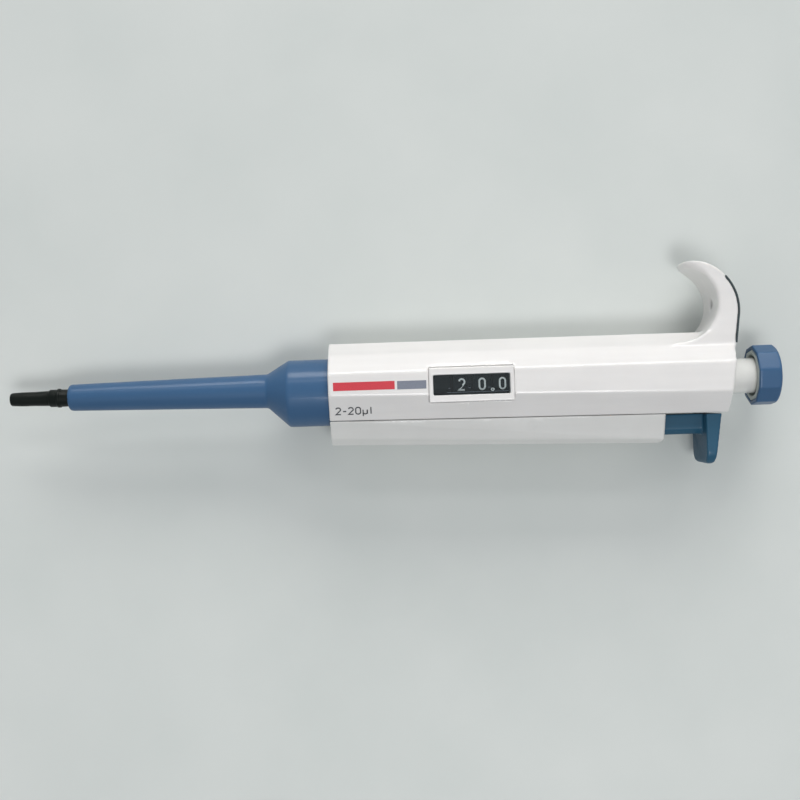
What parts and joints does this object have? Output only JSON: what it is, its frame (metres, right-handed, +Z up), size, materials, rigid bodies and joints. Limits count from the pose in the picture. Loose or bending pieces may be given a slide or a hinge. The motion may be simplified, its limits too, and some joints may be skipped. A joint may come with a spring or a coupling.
{
  "type": "adjustable micropipette",
  "caption": "Single-channel adjustable micropipette lying flat: nozzle, ejector sleeve, faceted handle with finger hook and volume window, plunger knob, ejector button.",
  "frame": {"origin": "centre of the underside of the box of the whole pipette, on the surface that it lies on", "axes": "+X along the pipette from the nozzle to the knob, +Y towards the finger hook, +Z up out of the volume window"},
  "size_m": [0.2374, 0.0622, 0.0283],
  "materials": {
    "white_plastic": "satin moulded white plastic",
    "grey_white_plastic": "satin moulded off-white plastic",
    "blue_plastic": "satin moulded blue-grey plastic",
    "black_plastic": "semi-gloss black plastic",
    "dark_plate": "matte dark grey plate",
    "light_grey_plastic": "matte light grey plastic",
    "clear_lens": "clear acrylic window",
    "wheel_black": "matte black number wheel",
    "brass": "turned brass",
    "steel": "ground stainless steel",
    "spring_steel": "drawn spring wire",
    "bearing_plastic": "natural acetal",
    "seal_plastic": "white PTFE",
    "seal_rubber": "black seal rubber"
  },
  "bodies": {
    "handle": {"handle_housing": "white_plastic", "ejector_cover": "grey_white_plastic", "hook_plate": "dark_plate", "window_frame": "white_plastic", "window_lens": "clear_lens", "counter_frame": "light_grey_plastic", "frame_screws": "steel", "stem_bush": "white_plastic", "upper_bearing": "bearing_plastic", "lower_bearing": "bearing_plastic", "blank_wheel": "wheel_black", "carry_plates": "wheel_black", "nozzle_shaft": "black_plastic", "coupling_nut": "black_plastic", "piston_seal": "seal_plastic", "seal_ring": "seal_rubber", "spring_seat": "steel", "piston_spring": "spring_steel", "rod_guide": "light_grey_plastic", "ejector_spring": "spring_steel"},
    "volume_drive": {"drive_sleeve": "brass", "drive_clip": "steel", "tenths_wheel": "wheel_black"},
    "units_counter": {"units_wheel": "wheel_black"},
    "tens_counter": {"tens_wheel": "wheel_black"},
    "units_carry": {"units_pinion": "bearing_plastic"},
    "tens_carry": {"tens_pinion": "bearing_plastic"},
    "volume_stop": {"stop_nut": "bearing_plastic", "blowout_spring": "spring_steel"},
    "plunger": {"knob_cap": "blue_plastic", "knob_ring": "light_grey_plastic", "plunger_stem": "white_plastic", "push_rod": "steel", "stop_collar": "steel", "collar_pin": "steel"},
    "piston": {"piston_head": "seal_plastic", "piston_rod": "steel"},
    "ejector": {"ejector_sleeve": "blue_plastic", "ejector_rod": "steel", "ejector_button": "blue_plastic", "button_pin": "steel"}
  },
  "joints": [
    {"name": "knob_turn", "type": "hinge", "parent": "handle", "child": "volume_drive", "pos_m": [0.0233, -0.00443, 0.014], "axis": [1, 0, 0], "range_deg": [-6480, 0]},
    {"name": "units_turn", "type": "hinge", "parent": "handle", "child": "units_counter", "pos_m": [0.0233, -0.00443, 0.014], "axis": [1, 0, 0], "range_deg": [-648.1, 0.1]},
    {"name": "tens_turn", "type": "hinge", "parent": "handle", "child": "tens_counter", "pos_m": [0.0233, -0.00443, 0.014], "axis": [1, 0, 0], "range_deg": [-64.9, 0.1]},
    {"name": "units_pinion_turn", "type": "hinge", "parent": "handle", "child": "units_carry", "pos_m": [0.0233, 0.00021, 0.00937], "axis": [1, 0, 0], "range_deg": [-2754.5, 0.5]},
    {"name": "tens_pinion_turn", "type": "hinge", "parent": "handle", "child": "tens_carry", "pos_m": [0.0233, 0.00021, 0.00937], "axis": [1, 0, 0], "range_deg": [-275.9, 0.5]},
    {"name": "stop_nut_slide", "type": "slide", "parent": "handle", "child": "volume_stop", "axis": [1, 0, 0], "range_m": [-0.00002, 0.00452]},
    {"name": "plunger_press", "type": "slide", "parent": "volume_drive", "child": "plunger", "axis": [-1, 0, 0], "range_m": [0, 0.0064], "stiffness_N_per_m": 150, "springref_m": -0.012, "deforming": ["blowout_spring", "piston_spring"]},
    {"name": "piston_slide", "type": "slide", "parent": "handle", "child": "piston", "axis": [-1, 0, 0], "range_m": [-0.00005, 0.00645]},
    {"name": "ejector_press", "type": "slide", "parent": "handle", "child": "ejector", "axis": [-1, 0, 0], "range_m": [0, 0.009], "stiffness_N_per_m": 300, "springref_m": -0.01, "deforming": ["ejector_spring"]}
  ],
  "couplings": [
    {"joint": "units_turn", "follows": "knob_turn", "ratio": 0.1},
    {"joint": "tens_turn", "follows": "knob_turn", "ratio": 0.01},
    {"joint": "units_pinion_turn", "follows": "knob_turn", "ratio": 0.425},
    {"joint": "tens_pinion_turn", "follows": "knob_turn", "ratio": 0.0425},
    {"joint": "stop_nut_slide", "follows": "knob_turn", "m_per_rad": -0.000039789},
    {"joint": "piston_slide", "follows": "plunger_press", "ratio": 1}
  ]
}
